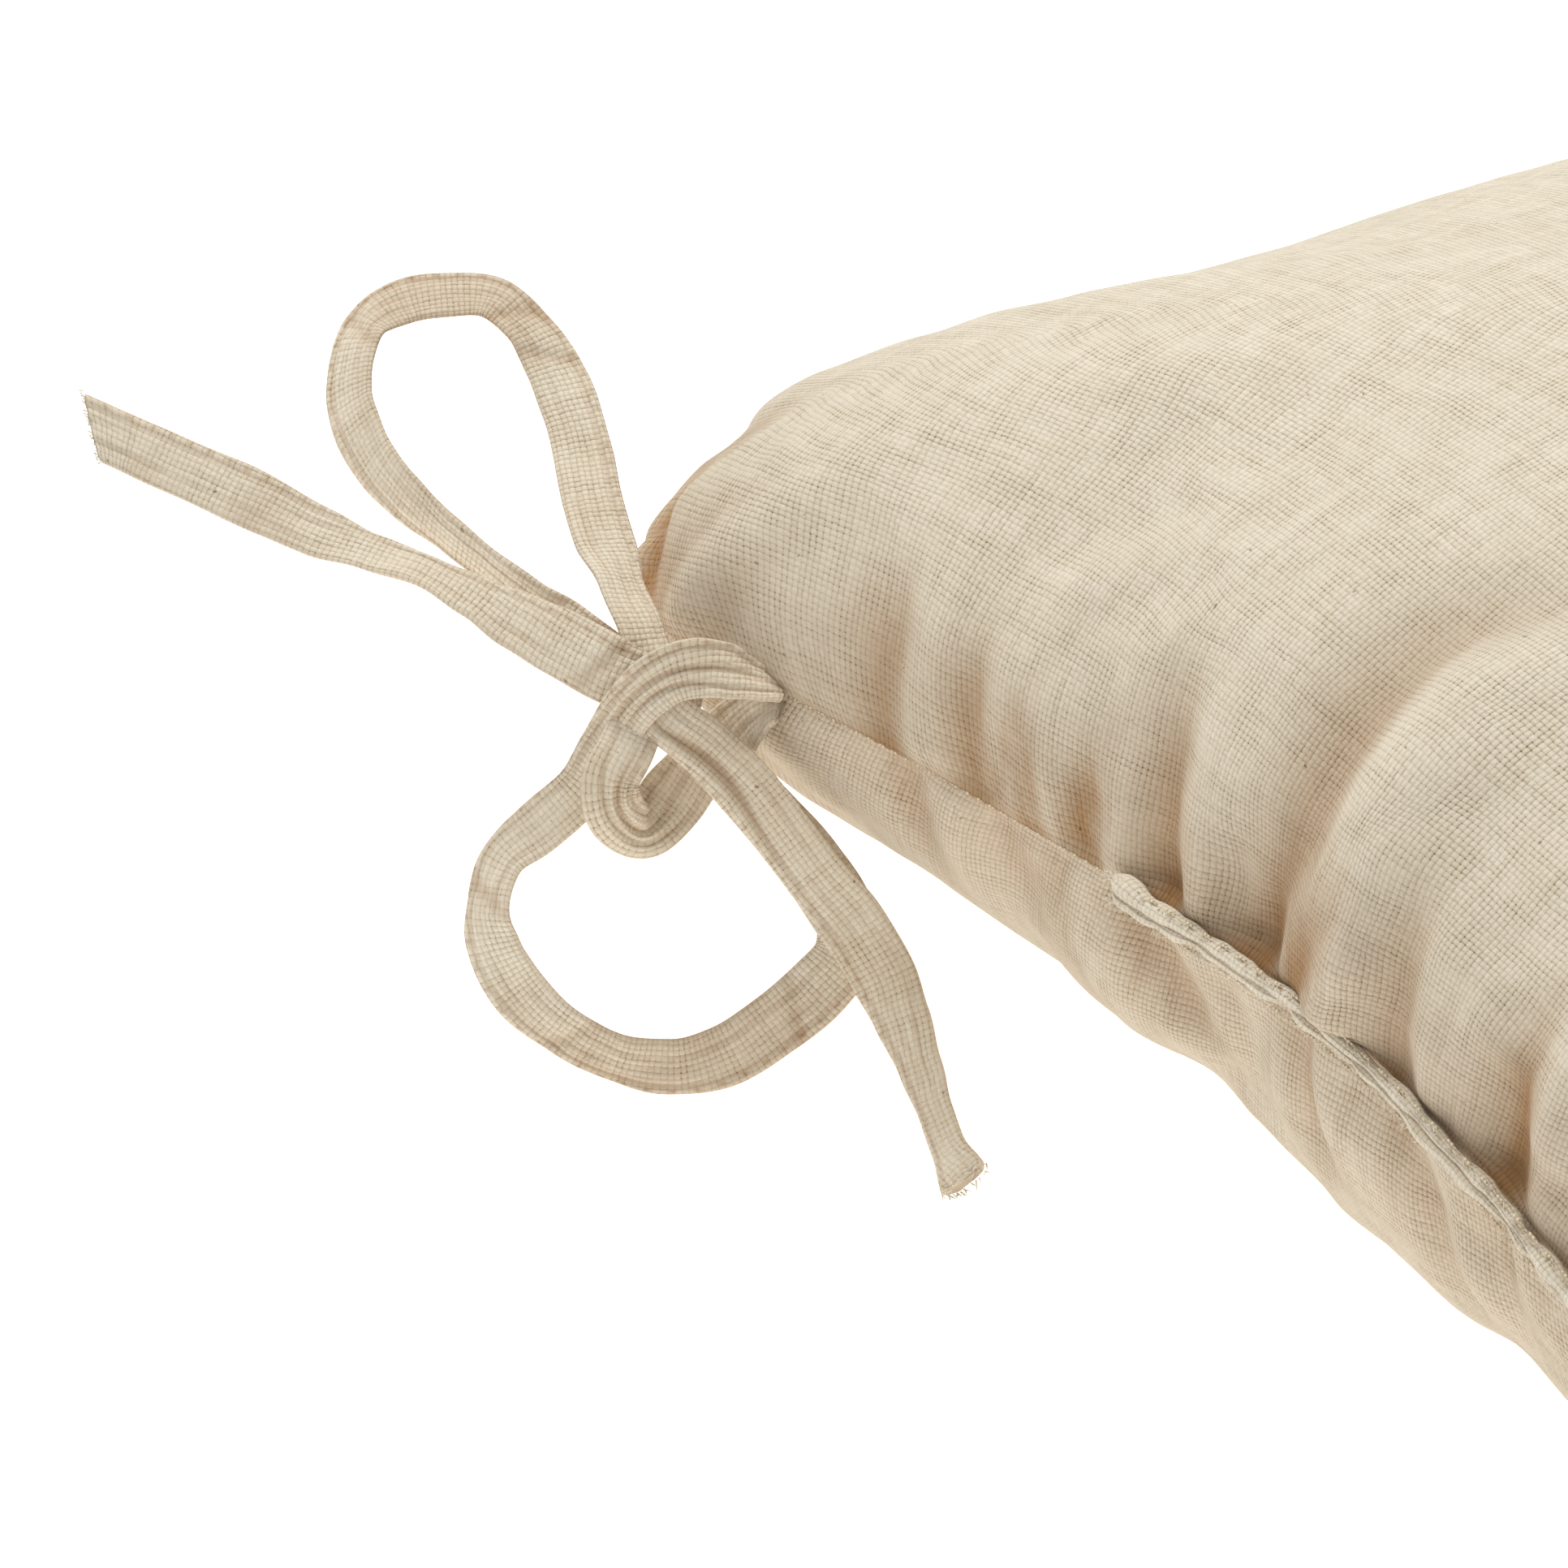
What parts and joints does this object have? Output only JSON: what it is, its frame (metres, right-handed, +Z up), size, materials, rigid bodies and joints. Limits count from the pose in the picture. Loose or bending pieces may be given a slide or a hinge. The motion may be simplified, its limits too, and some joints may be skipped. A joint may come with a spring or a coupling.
{
  "type": "floor cushion",
  "caption": "Square plump knife-edge floor cushion in coarse natural linen, with an edge-stitched closing seam and self-fabric tape ties knotted in a bow at two corners.",
  "frame": {"origin": "on the surface the cushion rests on, under the middle of the cushion", "axes": "+Z up; +Y towards the back edge, which holds the closing seam and both pairs of ties; +X to the right-hand corner of that edge as seen from the front"},
  "size_m": [0.5202, 0.5326, 0.1605],
  "materials": {
    "linen": "coarse plain-weave linen, undyed",
    "tape": "folded and edge-stitched linen tape",
    "thread": "spun sewing thread",
    "fibre": "loose fibre filling"
  },
  "bodies": {
    "cushion": {"top_panel": "linen", "bottom_panel": "linen", "filling": "fibre", "seam_thread": "thread", "closing_needle_thread": "thread", "closing_bobbin_thread": "thread", "right_over_tie_anchor": "tape", "right_under_tie_anchor": "tape", "left_over_tie_anchor": "tape", "left_under_tie_anchor": "tape"},
    "right_bow": {"right_over_tie_lead": "tape", "right_over_tie_loop": "tape", "right_over_tie_tail": "tape", "right_under_tie_lead": "tape", "right_under_tie_loop": "tape", "right_under_tie_tail": "tape", "right_bow_knot": "tape"},
    "left_bow": {"left_over_tie_lead": "tape", "left_over_tie_loop": "tape", "left_over_tie_tail": "tape", "left_under_tie_lead": "tape", "left_under_tie_loop": "tape", "left_under_tie_tail": "tape", "left_bow_knot": "tape"}
  },
  "joints": [
    {"name": "right_bow_lift", "type": "hinge", "parent": "cushion", "child": "right_bow", "pos_m": [0.155, 0.2174, 0.072], "axis": [1, 0, 0], "range_deg": [0, 15]},
    {"name": "left_bow_lift", "type": "hinge", "parent": "cushion", "child": "left_bow", "pos_m": [-0.155, 0.2174, 0.072], "axis": [1, 0, 0], "range_deg": [0, 15]}
  ]
}
